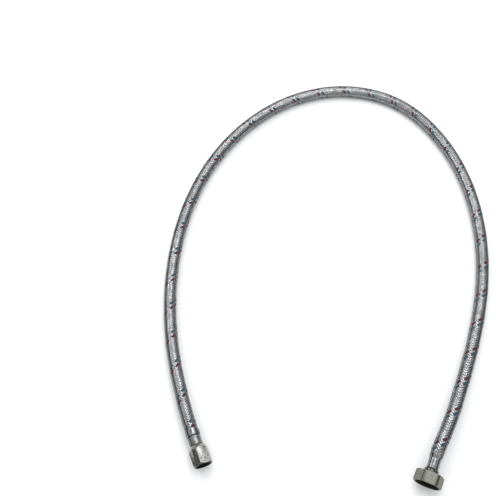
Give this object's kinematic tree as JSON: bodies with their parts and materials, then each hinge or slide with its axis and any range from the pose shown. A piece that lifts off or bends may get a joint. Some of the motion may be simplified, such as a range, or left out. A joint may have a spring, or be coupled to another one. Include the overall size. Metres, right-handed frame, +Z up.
{
  "type": "braided supply line",
  "caption": "Flexible water supply hose with a steel wire braid, a compression swivel nut on one end and a larger female pipe-thread swivel nut on the other.",
  "frame": {"origin": "centre of the whole line's bounding box, on the ground it lies on", "axes": "+Z up from the ground, +Y towards the top of the arch and away from both nuts, +X towards the leg that ends in the larger nut"},
  "size_m": [0.3204, 0.4376, 0.0229],
  "materials": {
    "woven_steel": "bright stainless wire, woven",
    "inner_rubber": "matt extruded EPDM",
    "bright_nickel": "bright nickel plate on brass",
    "satin_nickel": "satin nickel plate, slightly warm",
    "polished_steel": "polished stainless, crimp marks",
    "brass": "turned brass",
    "acetal": "smooth moulded acetal",
    "black_rubber": "matt moulded rubber",
    "red_tracer": "dyed nylon strand in the braid",
    "blue_tracer": "dyed nylon strand in the braid"
  },
  "bodies": {
    "hose": {"braid_sleeve": "woven_steel", "inner_tube": "inner_rubber", "compression_ferrule": "polished_steel", "compression_stem": "brass", "compression_cone_seal": "black_rubber", "fip_ferrule": "polished_steel", "fip_stem": "brass", "fip_gasket": "black_rubber"},
    "compression_ring": {"compression_thrust_ring": "acetal"},
    "compression_nut": {"compression_nut": "bright_nickel"},
    "fip_ring": {"fip_thrust_ring": "acetal"},
    "fip_nut": {"fip_nut": "satin_nickel"}
  },
  "joints": [
    {"name": "compression_nut_play", "type": "slide", "parent": "hose", "child": "compression_ring", "axis": [0.3502, -0.9367, 0], "range_m": [-0.0003, 0.0012]},
    {"name": "compression_nut_spin", "type": "hinge", "parent": "compression_ring", "child": "compression_nut", "pos_m": [-0.1173, -0.19728, 0.0093], "axis": [0.3502, -0.9367, 0], "continuous": true},
    {"name": "fip_nut_play", "type": "slide", "parent": "hose", "child": "fip_ring", "axis": [-0.3978, -0.9148, -0.0698], "range_m": [-0.0003, 0.0005]},
    {"name": "fip_nut_spin", "type": "hinge", "parent": "fip_ring", "child": "fip_nut", "pos_m": [0.07384, -0.21407, 0.01113], "axis": [-0.3978, -0.9148, -0.0698], "continuous": true}
  ]
}
